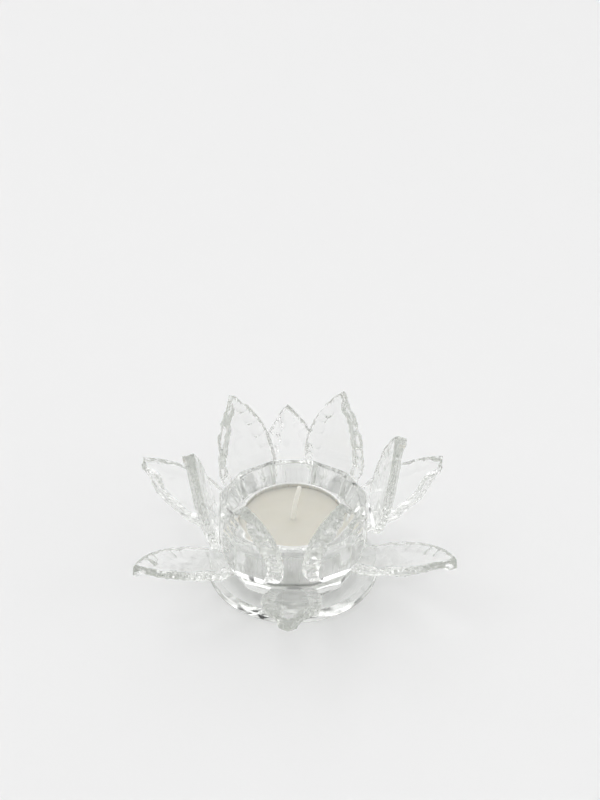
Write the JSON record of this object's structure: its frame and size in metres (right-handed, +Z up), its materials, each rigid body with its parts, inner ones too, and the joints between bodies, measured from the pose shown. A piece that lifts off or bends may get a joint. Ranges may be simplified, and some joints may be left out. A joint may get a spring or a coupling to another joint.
{
  "type": "tealight holder",
  "caption": "Clear crystal glass lotus holder: a faceted cup for one tealight on a bevelled foot, ringed by low outer and upright inner leaf-shaped glass petals; the tealight lifts out.",
  "frame": {"origin": "middle of the foot's underside, on the surface it stands on, on the cup's upright axis", "axes": "+Z up along the cup's axis; +X to the right and +Y away from the viewer when one outer petal points at the viewer"},
  "size_m": [0.1177, 0.1321, 0.0596],
  "materials": {
    "crystal_glass": "clear polished crystal glass with hand-chipped edges",
    "aluminium_foil": "thin satin drawn aluminium",
    "tin_plate": "thin tin-plated steel",
    "paraffin_wax": "off-white paraffin wax, semi-matt and slightly translucent",
    "cotton_wick": "waxed braided cotton"
  },
  "bodies": {
    "holder": {"base_disc": "crystal_glass", "cup": "crystal_glass", "outer_petal_1": "crystal_glass", "outer_petal_2": "crystal_glass", "outer_petal_3": "crystal_glass", "outer_petal_4": "crystal_glass", "outer_petal_5": "crystal_glass", "outer_petal_6": "crystal_glass", "inner_petal_1": "crystal_glass", "inner_petal_2": "crystal_glass", "inner_petal_3": "crystal_glass", "inner_petal_4": "crystal_glass", "inner_petal_5": "crystal_glass", "inner_petal_6": "crystal_glass"},
    "tealight": {"tealight_cup": "aluminium_foil", "wax": "paraffin_wax", "wick_clip": "tin_plate", "wick": "cotton_wick"}
  },
  "joints": [
    {"name": "tealight_lift", "type": "slide", "parent": "holder", "child": "tealight", "axis": [0, 0, 1], "range_m": [0, 0.06]}
  ]
}
